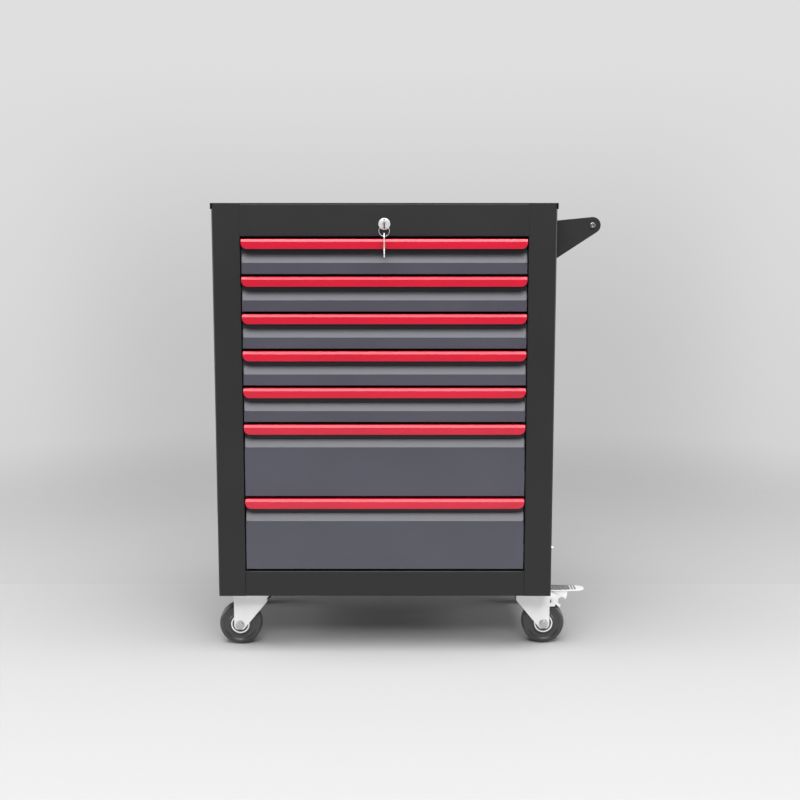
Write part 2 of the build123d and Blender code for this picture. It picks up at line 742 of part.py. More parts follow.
def fork(braked):
    """Folded fork with the lower race, and with ears for the pedal on a braked caster."""
    crown_low = fork_top - fork_sheet
    reach = fork_half_width
    crown = block((-reach, reach), (-fork_outside, fork_outside), (crown_low, fork_top))
    end = (Pos(trail, wheel_radius) * Circle(fork_end_radius)).edges()
    top = Line((-reach, fork_top), (reach, fork_top)).edges()
    inner = Line((-reach, fork_top), (-reach, fork_top - fork_shoulder)).edges()
    outline = make_hull(end + top + inner)
    low = wheel_radius - fork_end_flat
    outline -= Pos(trail, low - 10) * Rectangle(4 * fork_end_radius, 20)
    if braked:
        ear = make_hull((Pos(pedal_pivot_x, pedal_pivot_z) * Circle(7.0)).edges()
                        + Line((reach - 8, fork_top - 1), (reach - 8, pedal_pivot_z - 14)).edges()
                        + Line((reach + 9.5, fork_top - 4), (reach + 9.5, pedal_pivot_z - 14)).edges())
        outline += ear
        outline -= Pos(pedal_pivot_x, pedal_pivot_z) * Circle(brake_pin_radius + bolt_clearance)
        outline -= Pos(reach + 2.0, pedal_pivot_z - 3.8) * SlotOverall(7.0, 3.0, 90)
    outline -= Pos(trail, wheel_radius) * Circle(axle_radius + bolt_clearance)
    body = crown
    for side in (-1, 1):
        body += plate_xz(outline, sorted((side * fork_inside, side * fork_outside)))
    bends = body.edges().group_by(Axis.Z)[-1].filter_by(Axis.X)
    body = fillet(bends, 1.8)
    body += rod(race_radius, (0, 0, fork_top - 0.5), (0, 0, fork_top + 1.7))
    return body - rod(kingpin_radius + axle_fit, (0, 0, crown_low - 1), (0, 0, fork_top + 3))


def axle():
    """Axle bolt with a flanged hexagon head, and its nut."""
    z = wheel_radius
    shank = rod(axle_radius, (trail, -fork_outside, z), (trail, fork_outside + 7.5, z))
    flange = rod(axle_flange_radius, (trail, -fork_outside - 1.6, z), (trail, -fork_outside, z))
    head = Pos(trail, 0, z) * plate_xz(hexagon(axle_nut_across), (-fork_outside - 5.4, -fork_outside - 1.6))
    outline = hexagon(axle_nut_across) - Circle(axle_radius + lock_fit)
    nut = Pos(trail, 0, z) * plate_xz(outline, (fork_outside, fork_outside + 6.0))
    return [shank + flange + head, nut]


def revolved(outline, rim_radius=0.0):
    """A wheel piece about its axle, from one half of its section as (radius, Y), rounded at its rim."""
    other_half = [(radius, -y) for radius, y in reversed(outline)]
    section = make_face(Polyline(*outline, *other_half, close=True))
    if rim_radius:
        section = fillet(section.vertices().group_by(Axis.X)[-1], rim_radius)
    return Pos(trail, 0, wheel_radius) * revolve(section, Axis.Y)


def wheel_hub():
    """Zinc-plated hub tube with a rimmed disc against each side of the tyre."""
    half = wheel_width / 2
    bore, collar = axle_radius + axle_fit, axle_radius + hub_collar
    rim_inside = hub_disc_radius - hub_rim_width
    outline = [
        (bore, fork_inside - hub_play),
        (collar, fork_inside - hub_play),
        (collar, half + hub_disc_sheet),
        (rim_inside, half + hub_disc_sheet),
        (rim_inside + hub_disc_sheet, half + hub_rim),
        (hub_disc_radius, half + hub_rim),
        (hub_disc_radius, half),
        (tyre_bore, half),
    ]
    return revolved(outline)


def tyre():
    """Solid tyre with rounded shoulders and a shallow ring groove in each side."""
    half = wheel_width / 2
    groove_outer, groove_inner = wheel_radius - tyre_shoulder - groove_edge, hub_disc_radius + 2.0 * groove_edge
    outline = [
        (tyre_bore + 0.02, half),
        (groove_inner, half),
        (groove_inner + groove_depth, half - groove_depth),
        (groove_outer - groove_slope, half - groove_depth),
        (groove_outer, half),
        (wheel_radius, half),
    ]
    return revolved(outline, tyre_shoulder)


def brake_pedal():
    """Ribbed pedal on two cheeks, with the shoe that meets the tyre when it is trodden down."""
    top = skirt_z - pedal_below_skirt - pedal_rib_height
    low = top - pedal_sheet
    inner = fork_half_width + 1.5
    tip_radius = pedal_half_width - 2.5
    tread = Pos((inner + pedal_tip) / 2, 0) * RectangleRounded(pedal_tip - inner, 2 * pedal_half_width, 3.0)
    tip = Pos(pedal_tip - tip_radius, 0) * Circle(tip_radius)
    back_edge = (Pos(inner + 10, 0) * Rectangle(20, 2 * pedal_half_width)).edges()
    tread = tread & make_hull(tip.edges() + back_edge)
    pedal = extrude(Pos(0, 0, low) * tread, amount=pedal_sheet)
    step = (pedal_tip - inner - 16.0) / pedal_ribs
    for number in range(pedal_ribs):
        x = inner + 3.0 + number * step
        pedal += block((x, x + 0.45 * step), (3.0 - pedal_half_width, pedal_half_width - 3.0),
                       (top - 0.2, top + pedal_rib_height))
    shoe_distance = wheel_radius + brake_shoe_gap
    shoe_angle = radians(50)
    shoe_x = trail + (shoe_distance + 1) * cos(shoe_angle)
    shoe_z = wheel_radius + (shoe_distance + 1) * sin(shoe_angle)
    edges = Line((inner, top - 1), (inner + pedal_ear, top - 1)).edges()
    edges += Line((inner + pedal_ear - 2, low - 13), (inner + pedal_ear - 7, low - 15)).edges()
    edges += (Pos(pedal_pivot_x, pedal_pivot_z) * Circle(6.0)).edges()
    edges += (Pos(shoe_x + 1, shoe_z + 2) * Circle(3.0)).edges()
    cheek = make_hull(edges) - Pos(inner + 22, low - 20) * Circle(7.5)
    cheek -= Pos(pedal_pivot_x, pedal_pivot_z) * Circle(brake_pin_radius + axle_fit)
    for side in (-1, 1):
        near, far = pedal_cheek_y, pedal_cheek_y + pedal_sheet
        pedal += plate_xz(cheek, sorted((side * near, side * far)))
    shoe = Pos(shoe_x, 0, shoe_z) * Rot(0, 90 - 50, 0) * Box(9.0, 2 * pedal_cheek_y + 1, 2.0)
    return pedal + shoe


def brake_pin():
    """Pin of the brake pedal, headed at both ends."""
    x, z, reach = pedal_pivot_x, pedal_pivot_z, fork_outside
    pin = rod(brake_pin_radius, (x, -reach - 1.2, z), (x, reach + 1.2, z))
    for side in (-1, 1):
        pin += rod(brake_pin_radius + 1.2, (x, side * (reach + 1.2), z), (x, side * reach, z))
    return pin


def caster_bolts():
    """Low button-head bolts that hold the caster plates, with their nuts inside the cabinet."""
    pieces = []
    for x, y in plate_bolt_places():
        length = plate_sheet + deck_sheet + 7.0
        place, down = (x, y, caster_z), (0, 0, -1)
        pieces.append(screw(place, down, 5.4, plate_bolt_head, plate_bolt_radius, length, "socket"))
        outline = hexagon(10.0) - Circle(plate_bolt_radius + lock_fit)
        pieces.append(extrude(Pos(x, y, deck_top) * outline, amount=4.8))
    return pieces


# ---------------------------------------------------------------------------------------------------------
# The nodes, each with its solids
# ---------------------------------------------------------------------------------------------------------

nodes = {
    "side_panel_left": [side_panel(-1)],
    "side_panel_right": [side_panel(1)],
    "back_panel": [back_panel()],
    "bottom_panel": [bottom_panel()],
    "top_cover": [top_cover()],
    "top_rail": [top_rail()],
    "bottom_rail": [rail(skirt_z, opening_bottom)],
    "slide_posts": posts(-1) + posts(1),
    "slide_outer_left": outer_channels(-1),
    "slide_outer_right": outer_channels(1),
    "panel_screws": panel_screws(),
    "lock_housing": [lock_housing()],
    "lock_nut": [lock_nut()],
    "lock_bar_guides": lock_bar_guides(),
    "lock_plug": [lock_plug()],
    "lock_rod": [lock_rod()],
    "key": [key_piece()],
    "lock_bar": [lock_bar()],
    "handle_bracket_front": [handle_bracket(True)],
    "handle_bracket_rear": [handle_bracket(False)],
    "handle_tube": [handle_tube()],
    "handle_bolts": handle_bolts(),
    "caster_bolts": caster_bolts(),
}

for number in range(len(pitches)):
    nodes[f"drawer_{number + 1}_box"] = [drawer_box(number), drawer_front(number)]
    nodes[f"drawer_{number + 1}_pull"] = [drawer_pull(number)]
    nodes[f"drawer_{number + 1}_slides"] = inner_channels(number)

nodes["caster_plates"] = []
nodes["caster_kingpins"] = []
for name, (x, y, side, braked) in caster_places().items():
    pieces = {
        f"fork_{name}": [fork(braked)] + axle() + ([brake_pin()] if braked else []),
        f"hub_{name}": [wheel_hub()],
        f"tyre_{name}": [tyre()],
    }
    if braked:
        pieces[f"brake_pedal_{name}"] = [brake_pedal()]
    for node, solids in pieces.items():
        nodes[node] = [Pos(x, y, 0) * (solid if side > 0 else mirrored(solid)) for solid in solids]
    nodes["caster_plates"].append(Pos(x, y, 0) * caster_plate())
    nodes["caster_kingpins"].append(Pos(x, y, 0) * kingpin())

# The origin is the middle of the footprint, on the floor.
boxes = [solid.bounding_box() for solids in nodes.values() for solid in solids]
low = [min(tuple(box.min)[axis] for box in boxes) for axis in range(3)]
high = [max(tuple(box.max)[axis] for box in boxes) for axis in range(3)]
offset = (-(low[0] + high[0]) / 2, -(low[1] + high[1]) / 2, -low[2])

for node, solids in nodes.items():
    placed = [Pos(*offset) * part for solid in solids for part in solid.solids()]
    export_step(Compound(placed), f"parts/{node}.step")

print("nodes", len(nodes), "size", [round(b - a, 1) for a, b in zip(low, high)], "offset", offset)
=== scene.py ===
# %% [markdown]
# A rolling tool chest: a folded sheet-steel cabinet with seven drawers, red pulls, a lock, a push handle and
# four casters. The measured model of every part comes in first and stays where it is. What is made below
# gives one of its parts a finer surface, adds a small thing that hangs on it, or is the studio round it.

# %% Load the measured model
import json
import math

import bmesh
import bpy
from mathutils import Matrix, Vector

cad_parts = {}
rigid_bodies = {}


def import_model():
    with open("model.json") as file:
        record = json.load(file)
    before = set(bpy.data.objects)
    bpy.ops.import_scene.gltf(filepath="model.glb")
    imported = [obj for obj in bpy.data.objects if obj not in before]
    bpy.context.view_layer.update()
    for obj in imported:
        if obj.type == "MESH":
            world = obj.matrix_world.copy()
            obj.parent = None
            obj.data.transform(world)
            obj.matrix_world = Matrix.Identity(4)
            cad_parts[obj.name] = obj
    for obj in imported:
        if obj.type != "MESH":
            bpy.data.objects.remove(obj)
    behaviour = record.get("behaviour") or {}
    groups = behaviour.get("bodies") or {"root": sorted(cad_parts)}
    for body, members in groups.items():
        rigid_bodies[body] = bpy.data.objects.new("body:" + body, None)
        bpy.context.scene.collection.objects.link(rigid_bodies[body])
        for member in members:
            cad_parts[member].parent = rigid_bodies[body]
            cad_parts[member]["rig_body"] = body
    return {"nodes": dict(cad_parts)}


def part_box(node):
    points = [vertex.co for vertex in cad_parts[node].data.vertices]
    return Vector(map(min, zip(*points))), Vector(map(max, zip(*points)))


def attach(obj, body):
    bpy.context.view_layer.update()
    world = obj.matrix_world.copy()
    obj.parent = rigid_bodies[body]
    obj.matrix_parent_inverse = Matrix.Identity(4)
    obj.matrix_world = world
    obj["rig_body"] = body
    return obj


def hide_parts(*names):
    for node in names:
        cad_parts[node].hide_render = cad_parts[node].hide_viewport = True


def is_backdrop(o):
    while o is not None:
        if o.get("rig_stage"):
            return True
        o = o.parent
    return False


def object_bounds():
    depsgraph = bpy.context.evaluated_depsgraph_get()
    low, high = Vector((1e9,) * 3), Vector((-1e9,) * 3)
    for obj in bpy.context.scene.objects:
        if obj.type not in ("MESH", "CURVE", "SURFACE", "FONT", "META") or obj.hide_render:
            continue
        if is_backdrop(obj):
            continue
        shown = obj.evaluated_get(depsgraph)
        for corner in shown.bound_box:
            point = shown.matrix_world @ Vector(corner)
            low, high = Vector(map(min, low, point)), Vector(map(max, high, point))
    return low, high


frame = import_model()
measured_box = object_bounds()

nodes = frame["nodes"]

# %% [markdown]
# Places are read from the parts themselves. The cabinet has a few that the rest is hung from: the middle
# between its side walls, its front face and the axis of its lock.

# %% Read the main places
left_wall, right_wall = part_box("side_panel_left"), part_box("side_panel_right")
middle_x = (left_wall[0].x + right_wall[1].x) / 2
front_y = left_wall[0].y
lock_low, lock_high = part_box("lock_housing")
lock_x, lock_z = (lock_low.x + lock_high.x) / 2, (lock_low.z + lock_high.z) / 2
print("middle at", round(middle_x, 4), "front face at", round(front_y, 4), "lock at", round(lock_z, 4))

# %% [markdown]
# The camera stands a little lower than the lid and is tipped slightly down. That way the front stays nearly
# square, and the lid is seen edge-on.

# %% Camera
to_the_right, in_front, above_floor = 0.0279, 2.1559, 0.7703
dip = 7.796
lens_data = bpy.data.cameras.new("camera")
lens_data.lens = 54.0
lens_data.sensor_width = 36.0
camera = bpy.data.objects.new("camera", lens_data)
camera.location = (middle_x + to_the_right, front_y - in_front, above_floor)
camera.rotation_euler = (math.radians(90 - dip), 0, 0)
bpy.context.scene.collection.objects.link(camera)
bpy.context.scene.camera = camera
print("camera at", [round(c, 3) for c in camera.location])

# %% [markdown]
# Every finish and every rule-made piece is a tree of nodes. Written out one by one, nodes hide the idea
# behind them, so an output socket is wrapped in a small class: adding or multiplying two of them adds the
# Math node that does it.

# %% A wire that can be calculated with
class Wire:
    def __init__(self, graph, socket):
        self.graph, self.socket = graph, socket

    def maths(self, operation, first, second):
        return self.graph.node("ShaderNodeMath", {"operation": operation}, {0: first, 1: second})

    def __add__(self, other):
        return self.maths("ADD", self, other)

    def __radd__(self, other):
        return self.maths("ADD", other, self)

    def __sub__(self, other):
        return self.maths("SUBTRACT", self, other)

    def __rsub__(self, other):
        return self.maths("SUBTRACT", other, self)

    def __mul__(self, other):
        return self.maths("MULTIPLY", self, other)

    def __rmul__(self, other):
        return self.maths("MULTIPLY", other, self)

    def between(self, low, high):
        """0 where this is below low, 1 where it is above high, and smooth in between."""
        return self.graph.node("ShaderNodeMapRange", {"interpolation_type": "SMOOTHSTEP"},
                               {"Value": self, "From Min": low, "From Max": high})


print("wires can add, subtract and multiply")

# %% [markdown]
# Every other node comes from one method: its type, the settings that have to be made first, and what its
# inputs get.

# %% A graph that makes its own nodes
class Graph:
    def __init__(self, tree):
        self.tree = tree

    def node(self, kind, settings=None, inputs=None, output=0):
        made = self.tree.nodes.new(kind)
        for name, value in (settings or {}).items():
            setattr(made, name, value)
        for name, value in (inputs or {}).items():
            self.feed(made.inputs[name], value)
        return Wire(self, made.outputs[output])

    def feed(self, socket, value):
        if isinstance(value, Wire):
            self.tree.links.new(value.socket, socket)
        else:
            socket.default_value = value


print("graph helper ready")

# %% [markdown]
# A finish is a graph round the one Principled shader. Patterns read Object coordinates, which are metres
# here, so a scale of 700 is a grain of about one and a half millimetres. The fine edges that are rounded
# later carry a mark called "edge", and there a coat of paint is thinner and rubs lighter.

# %% A finish
class Finish(Graph):
    def __init__(self, name, **fixed):
        """A material. A keyword such as base_color sets the shader's own socket, Base Color."""
        self.material = bpy.data.materials.new(name)
        self.material.use_nodes = True
        super().__init__(self.material.node_tree)
        self.shader = self.tree.nodes["Principled BSDF"]
        for keyword, value in fixed.items():
            socket = keyword.replace("_", " ").title().replace("Ior", "IOR")
            self.shader.inputs[socket].default_value = value
        self.place = self.node("ShaderNodeTexCoord", output="Object")

    def noise(self, scale, detail=2.0, stretch=None):
        place = self.place
        if stretch:
            place = self.node("ShaderNodeMapping", inputs={"Vector": place, "Scale": stretch})
        return self.node("ShaderNodeTexNoise", inputs={"Vector": place, "Scale": scale, "Detail": detail})

    def studs(self, pitch):
        """How far the nearest of an even grid of studs is, in shares of the pitch, seen from above."""
        flat = self.node("ShaderNodeMapping", inputs={
            "Vector": self.place, "Rotation": (0, 0, math.radians(45)), "Scale": (1, 1, 0)})
        return self.node("ShaderNodeTexVoronoi", inputs={
            "Vector": flat, "Scale": 1 / pitch, "Randomness": 0.0})

    def mix(self, share, first, second):
        return self.node("ShaderNodeMix", {"data_type": "RGBA"}, {0: share, 6: first, 7: second}, output=2)

    def mark(self, name):
        """A mark that a mesh carries, 0 where it has none."""
        return self.node("ShaderNodeAttribute", {"attribute_name": name}, output="Fac")

    def edge(self):
        """1 on rounded edges, broken up so that only parts of them are worn."""
        return self.mark("edge") * self.noise(35.0, 4.0).between(0.42, 0.66)

    def bump(self, height, distance, strength):
        self.use("Normal", self.node("ShaderNodeBump", inputs={
            "Height": height, "Distance": distance, "Strength": strength}))

    def use(self, socket, value):
        self.feed(self.shader.inputs[socket], value)


def shade(colour, factor):
    return tuple(channel * factor for channel in colour) + (1.0,)


print("finish helper ready")

# %% [markdown]
# Powder coat is paint that was dusted on dry and melted. It keeps a fine orange-peel skin that softens
# reflections without hiding them. The skin is far finer than a mesh can hold, so it is a bump of two grain
# sizes. Slow clouds in colour and roughness keep a large plain panel from looking printed, and worn edges
# show a paler tone. Far inside the finger recess of a drawer the coat is painted dark, as painted shade
# under the pull, and is made duller there.

# %% Powder coats
def powder_coat(name, colour, roughness, peel=0.4, worn=1.8, ior=1.5):
    finish = Finish(name, ior=ior)
    clouds, streaks = finish.noise(7.0, 3.0), finish.noise(90.0, 2.0)
    tone = finish.mix(clouds.between(0.3, 0.7), shade(colour, 0.95), shade(colour, 1.05))
    # Painted shade: far inside a drawer's finger recess, under the pull, the colour goes nearly black and
    # duller.
    recess_shade = finish.mark("recess").between(0.12, 0.56)
    tone = finish.mix(recess_shade * 0.92, tone, shade(colour, 0.04))
    finish.use("Base Color", finish.mix(finish.edge() * 0.75, tone, shade(colour, worn)))
    finish.use("Roughness", (clouds - 0.5) * 0.06 + (streaks - 0.5) * 0.04 + recess_shade * 0.25 + roughness)
    finish.bump(finish.noise(260.0, 1.0) + finish.noise(700.0, 2.0) * 0.25, 0.00005, peel)
    return finish.material


finishes = {
    "body_paint": powder_coat("body_paint", (0.013, 0.013, 0.0135), 0.46, peel=0.35, worn=2.6, ior=1.45),
    "drawer_paint": powder_coat("drawer_paint", (0.066, 0.066, 0.087), 0.315, peel=0.28),
    "red_paint": powder_coat("red_paint", (0.56, 0.011, 0.034), 0.20, peel=0.06, worn=1.15),
    "black_paint": powder_coat("black_paint", (0.014, 0.014, 0.0145), 0.44, worn=2.6),
}
print("powder coats:", ", ".join(finishes))

# %% [markdown]
# Zinc plating is a bright, slightly milky metal. It is never an even mirror: patches of the plating reflect a
# little more or less, and the rolled steel under it leaves faint lines along one direction. A painted image
# would need a map of every part, but a noise needs only the place, so two of them go into colour, roughness
# and bump. Three marks change the metal: bare steel where a part isn't plated, painted shade in a hub's
# recess under the fork's end, and the pad of a pedal, which is dark between its even studs.

# %% Plated metals
def plated(name, colour, roughness, metallic=1.0, grain=(1.0, 1.0, 1.0), patches=55.0, relief=0.3,
           contrast=1.0):
    finish = Finish(name)
    patch, lines = finish.noise(patches, 3.0), finish.noise(420.0, 3.0, grain)
    dull, bright = shade(colour, 1 - 0.08 * contrast), shade(colour, 1 + 0.05 * contrast)
    tone = finish.mix(patch.between(0.25, 0.75), dull, bright)
    tone = finish.mix(finish.edge() * 0.5, tone, shade(colour, 1.12))
    # Painted shade: a hub's recess goes nearly black, as the fork's end shades it.
    steel, shadowed = finish.mark("bare steel"), finish.mark("shadowed")
    grip = finish.mark("grip") * (0.35 + 0.55 * finish.studs(0.0026).between(0.24, 0.36))
    tone = finish.mix(steel, tone, (0.55, 0.55, 0.56, 1.0))
    tone = finish.mix(grip, tone, (0.05, 0.05, 0.055, 1.0))
    finish.use("Base Color", finish.mix(shadowed * 0.92, tone, (0.03, 0.03, 0.03, 1.0)))
    finish.use("Metallic", metallic + steel * (1.0 - metallic))
    uneven = (patch - 0.5) * (0.16 * contrast) + (lines - 0.5) * 0.12
    finish.use("Roughness", uneven + roughness - steel * 0.12)
    finish.bump(lines + patch * 0.5, 0.00002, relief)
    return finish.material


metals = {
    "zinc_steel": plated("zinc_steel", (0.60, 0.61, 0.63), 0.34, grain=(1.0, 0.06, 1.0)),
    "caster_zinc": plated("caster_zinc", (0.93, 0.93, 0.94), 0.40, metallic=0.22, patches=60.0,
                          contrast=0.35),
    "fastener_steel": plated("fastener_steel", (0.74, 0.74, 0.75), 0.38, metallic=0.9, patches=160.0),
    "dull_zinc": plated("dull_zinc", (0.30, 0.30, 0.31), 0.38, metallic=0.9, patches=160.0),
    "chrome": plated("chrome", (0.86, 0.86, 0.85), 0.20, patches=140.0, relief=0.12),
    # Painted shade: the key in the lock is dark, standing for the shaded slot of the lock.
    "key_steel": plated("key_steel", (0.14, 0.14, 0.14), 0.36, patches=140.0, relief=0.12),
    "satin_nickel": plated("satin_nickel", (0.76, 0.76, 0.75), 0.34, metallic=0.35, patches=140.0,
                           relief=0.12, contrast=0.5),
}
finishes.update(metals)
print("metals:", ", ".join(metals))

# %% [markdown]
# The tyres are solid dark grey rubber: dull, with a dusty tread where they touch the floor. A second material
# for the tread would end in a hard line, and distance from the axle isn't known to the shader. So the dust
# follows a mark of the tyre's own, which its section carries round.

# %% Rubber
def rubber(name, colour, dust_colour):
    finish = Finish(name, specular_ior_level=0.62)
    speckle, cloud = finish.noise(900.0, 2.0), finish.noise(45.0, 3.0)
    dust = finish.mark("tread")
    tone = finish.mix(cloud.between(0.3, 0.7), shade(colour, 0.9), shade(colour, 1.1))
    dusty = dust * cloud.between(0.35, 0.75) * 0.35
    finish.use("Base Color", finish.mix(dusty, tone, shade(dust_colour, 1.0)))
    finish.use("Roughness", (cloud - 0.5) * 0.06 + dust * 0.28 + 0.22)
    finish.bump(speckle + cloud * 2.0, 0.00005, 0.4)
    return finish.material


finishes["tyre_rubber"] = rubber("tyre_rubber", (0.040, 0.040, 0.041), (0.16, 0.155, 0.15))
print("finishes:", len(finishes))

# %% [markdown]
# Each measured part already names the finish that it should have, and gets the finish of the same name. A few
# parts wear or shine otherwise than their like: the lock, its key and the bolts of the handle. The key in the
# lock is painted dark, as painted shade of the lock's slot.

# %% Give every part its finish
# The key in the lock gets a dark finish: painted shade of its slot.
own_finish = {"lock_housing": "satin_nickel", "lock_plug": "satin_nickel", "key": "key_steel",
              "handle_bolts": "dull_zinc"}
slots = {}
for name, part in nodes.items():
    slots[name] = part.data.materials[0].name.split(".")[0]
    part.data.materials[0] = finishes[own_finish.get(name, slots[name])]
print({slot: list(slots.values()).count(slot) for slot in sorted(set(slots.values()))})

# %% [markdown]
# A measured part is loose triangles, so a finer copy starts from its merged mesh. Modifiers then do the fine
# work, and their result is read back as a plain mesh. The copy rides where the part did and stands for it.

# %% Merge, read back and place
def merged(part):
    """A part's mesh with shared corners and whole flat faces."""
    work = bmesh.new()
    work.from_mesh(part.data)
    bmesh.ops.remove_doubles(work, verts=work.verts, dist=1e-6)
    bmesh.ops.dissolve_limit(work, angle_limit=math.radians(0.5), verts=work.verts, edges=work.edges)
    mesh = bpy.data.meshes.new(part.name + "_merged")
    work.to_mesh(mesh)
    work.free()
    mesh.shade_smooth()
    return mesh


def plain_mesh(holder, name):
    """The evaluated shape of an object as a plain mesh, with the object and its modifiers gone."""
    evaluated = holder.evaluated_get(bpy.context.evaluated_depsgraph_get())
    mesh = bpy.data.meshes.new_from_object(evaluated)
    bpy.data.objects.remove(holder)
    mesh.name = name
    return mesh


def placed(name, mesh, body, slot, *stands_for):
    """A finished piece at the origin, riding on its body."""
    piece = bpy.data.objects.new(name, mesh)
    bpy.context.scene.collection.objects.link(piece)
    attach(piece, body)
    if stands_for:
        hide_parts(*stands_for)
    return piece


print("mesh helpers ready")

# %% [markdown]
# Folded and cut steel has no knife edges: a press rounds them by a few tenths of a millimetre, and that thin
# band catches the light. A shader can fake it by bending the light at an edge, but the shape stays sharp. So
# a narrow Bevel modifier goes round every edge that is sharper than a part's curved corners. It gives its new
# faces the second material, which is how they are found and marked "edge". Weighted normals then keep the
# large faces flat.

# %% Round the edges of a part
edge_width = 0.0003


def eased(node, width, **marks):
    """A part with rounded edges. Each of the marks is a rule that tells whether a face's middle has it."""
    finish = nodes[node].data.materials[0]
    mesh = merged(nodes[node])
    mesh.materials.append(finish)
    mesh.materials.append(finish)
    holder = bpy.data.objects.new(node + "_holder", mesh)
    bpy.context.scene.collection.objects.link(holder)
    bevel = holder.modifiers.new("edges", "BEVEL")
    bevel.width = width
    bevel.segments = 2
    bevel.limit_method = "ANGLE"
    bevel.angle_limit = math.radians(35)
    bevel.use_clamp_overlap = False
    bevel.material = 1
    holder.modifiers.new("flat faces stay flat", "WEIGHTED_NORMAL").weight = 100
    mesh = plain_mesh(holder, node + "_eased")
    new_faces = mesh.attributes.new("edge", "FLOAT", "FACE")
    new_faces.data.foreach_set("value", [float(face.material_index) for face in mesh.polygons])
    mesh.polygons.foreach_set("material_index", [0] * len(mesh.polygons))
    mesh.materials.pop(index=1)
    for mark, rule in marks.items():
        painted = mesh.attributes.new(mark.replace("_", " "), "FLOAT", "FACE")
        painted.data.foreach_set("value", [float(rule(face.center)) for face in mesh.polygons])
    return placed(node + "_eased", mesh, nodes[node]["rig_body"], slots[node], node)


print("edges are rounded by", 1000 * edge_width, "mm")

# %% [markdown]
# Some finishes change over a part. An axle's heads are bare steel, a hub's recess is painted darker as shade
# under the fork's end, and a pedal's pad is dark. A drawer's front lies ever deeper in its finger recess
# towards the top of its slope, where its finish paints shade under the pull. Such places could be painted on
# by hand, but a rule about where they are follows the part when its size changes.
# What the rule finds is kept as a mark on faces or corners, and the finish reads it.

# %% Marks for bare steel, painted shade, a dark pad and deep places
head_out, head_reach = 0.0056, 0.0092        # an axle's head: out from the tyre's side, and from the axle
recess_out, recess_reach = 0.0014, 0.0149    # a hub's recess, in the same way
rib_drop, plain_tip, pad_half_width = 0.0012, 0.012, 0.0152    # a pedal's ribbed pad
recess_back = 0.0083                         # a drawer's recess: from the cabinet's face to its back


def caster_marks(node):
    """The rules that tell which faces of a caster's part are bare steel, painted shade or the pedal's pad."""
    low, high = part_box(node.replace("fork", "tyre").replace("hub", "tyre").replace("brake_pedal", "tyre"))
    axle, side = (low + high) / 2, (high.y - low.y) / 2

    def from_side(place):
        return abs(place.y - axle.y) - side

    def from_axle(place):
        return math.hypot(place.x - axle.x, place.z - axle.z)

    if node.startswith("fork_"):
        return {"bare_steel": lambda place: from_side(place) > head_out and from_axle(place) < head_reach}
    if node.startswith("hub_"):
        # a hub's recess, painted darker as shade under the fork's end
        return {"shadowed": lambda place: from_side(place) < recess_out and from_axle(place) < recess_reach}
    tip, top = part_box(node)[1].x - plain_tip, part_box(node)[1].z - rib_drop
    return {"grip": lambda place: (place.z > top and place.x < tip
                                   and abs(place.y - axle.y) < pad_half_width)}


# The depth tells a drawer's finish where to paint shade under its pull.
def mark_recess(mesh):
    """How deep a drawer's front lies in its recess: 0 at the foot of the slope, 1 at the top of the wall."""
    foot = max(corner.co.z for corner in mesh.vertices if corner.co.y < front_y + 0.0001)
    top = max(corner.co.z for corner in mesh.vertices)
    depth = [(corner.co.z - foot) / (top - foot) if corner.co.y < front_y + recess_back else 0.0
             for corner in mesh.vertices]
    mesh.attributes.new("recess", "FLOAT", "POINT").data.foreach_set("value", depth)


print("marks ready")

# %% [markdown]
# Every part of folded, drawn or cut metal is rounded, apart from a few deep inside the cabinet. The lid's rim
# is folded round a larger tool than the rest, so its edges are wider.

# %% Round the parts that show
outside = ["side_panel_left", "side_panel_right", "top_cover", "top_rail", "bottom_rail", "back_panel",
           "bottom_panel", "handle_bracket_front", "handle_bracket_rear", "handle_tube", "lock_housing",
           "lock_plug", "key", "caster_plates", "caster_kingpins"]
outside += [name for name in nodes if name.startswith(("drawer_", "fork_", "hub_", "brake_pedal_"))]
wider_edges = {"top_cover": 0.0007}
rounded = []
for node in outside:
    marks = caster_marks(node) if node.startswith(("fork_", "hub_", "brake_pedal_")) else {}
    rounded.append(eased(node, wider_edges.get(node, edge_width), **marks))
    if node.startswith("drawer_") and node.endswith("_box"):
        mark_recess(rounded[-1].data)
print(len(rounded), "parts rounded,", sum(len(piece.data.polygons) for piece in rounded), "faces")

# %% [markdown]
# The top rail is welded to the stiles, and the weld is ground and painted over, so no joint shows there. The
# measured rail and stile have a fine gap between them. Merging their meshes would close it, but they would no
# longer be two parts. So a bead closes it, and stands four hundredths of a millimetre proud.

# %% Ground welds of the top rail
def ground_weld(name, x, low_z, high_z, half_width=0.0008, proud=0.00004, depth=0.0007):
    crown = [(-half_width, 0.0), (-0.6 * half_width, -0.6 * proud), (0.0, -proud),
             (0.6 * half_width, -0.6 * proud), (half_width, 0.0), (0.7 * half_width, depth),
             (-0.7 * half_width, depth)]
    work = bmesh.new()
    ends = [[work.verts.new((x + across, front_y + back, z)) for across, back in crown]
            for z in (low_z, high_z)]
    for left in range(len(crown)):
        right = (left + 1) % len(crown)
        work.faces.new((ends[0][left], ends[0][right], ends[1][right], ends[1][left]))
    work.faces.new(list(reversed(ends[0])))
    work.faces.new(ends[1])
    mesh = bpy.data.meshes.new(name)
    work.to_mesh(mesh)
    work.free()
    mesh.materials.append(finishes["body_paint"])
    return placed(name, mesh, "cabinet", "body_paint")


rail_face = [corner.co for corner in nodes["top_rail"].data.vertices if abs(corner.co.y - front_y) < 1e-5]
rail_low, rail_high = min(corner.z for corner in rail_face), max(corner.z for corner in rail_face)
rail_ends = {"left": min(corner.x for corner in rail_face), "right": max(corner.x for corner in rail_face)}
for side, x in rail_ends.items():
    ground_weld("rail_weld_" + side, x, rail_low + edge_width, rail_high)
    print("weld at", round(x, 4), "from", round(rail_low, 4), "to", round(rail_high, 4))

